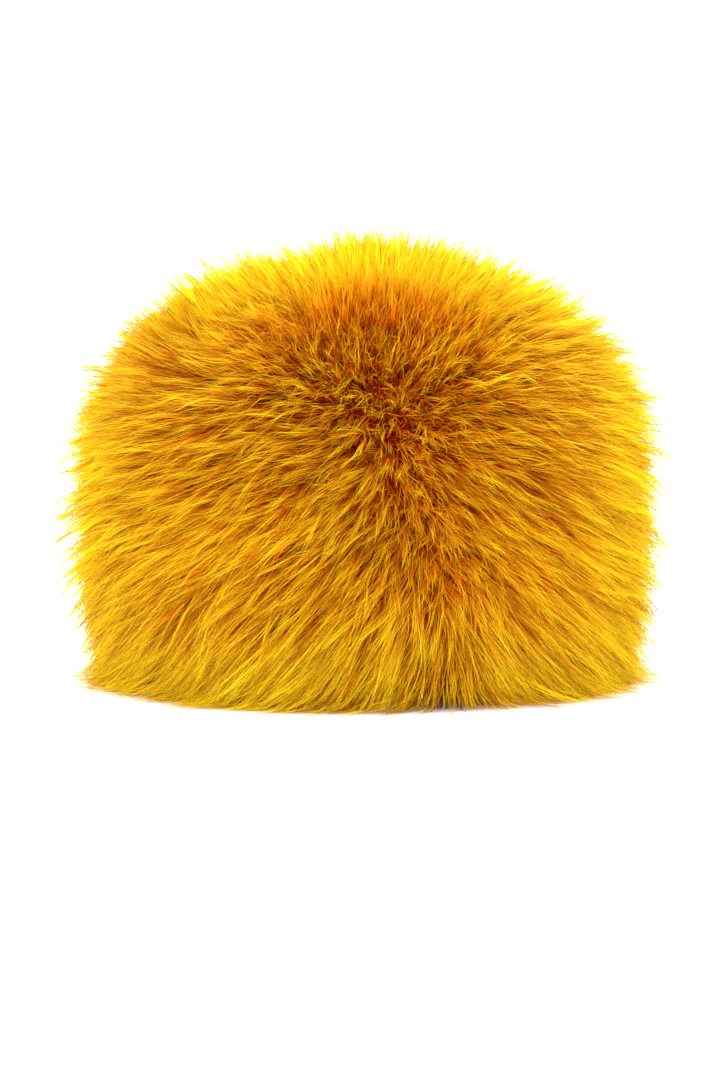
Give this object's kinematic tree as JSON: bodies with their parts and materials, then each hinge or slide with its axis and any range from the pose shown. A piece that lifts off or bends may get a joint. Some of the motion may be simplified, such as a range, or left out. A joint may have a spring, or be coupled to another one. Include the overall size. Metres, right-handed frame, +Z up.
{
  "type": "cossack hat",
  "caption": "Deep oval cossack hat of long-haired fur: a tall side band and a domed crown over an open head hollow.",
  "frame": {"origin": "on the surface that the hat stands on, under the middle of its outer form", "axes": "+Z up through the crown, the front faces -Y, +X is the viewer's right in the picture"},
  "size_m": [0.2677, 0.2942, 0.1926],
  "materials": {
    "pelt": "matt dressed skin side",
    "fur": "long glossy mustard-yellow guard hair over darker underfur"
  },
  "bodies": {
    "root": {"side_band": "pelt", "crown_panel": "pelt", "side_band_fur": "fur", "crown_fur": "fur"}
  },
  "joints": []
}
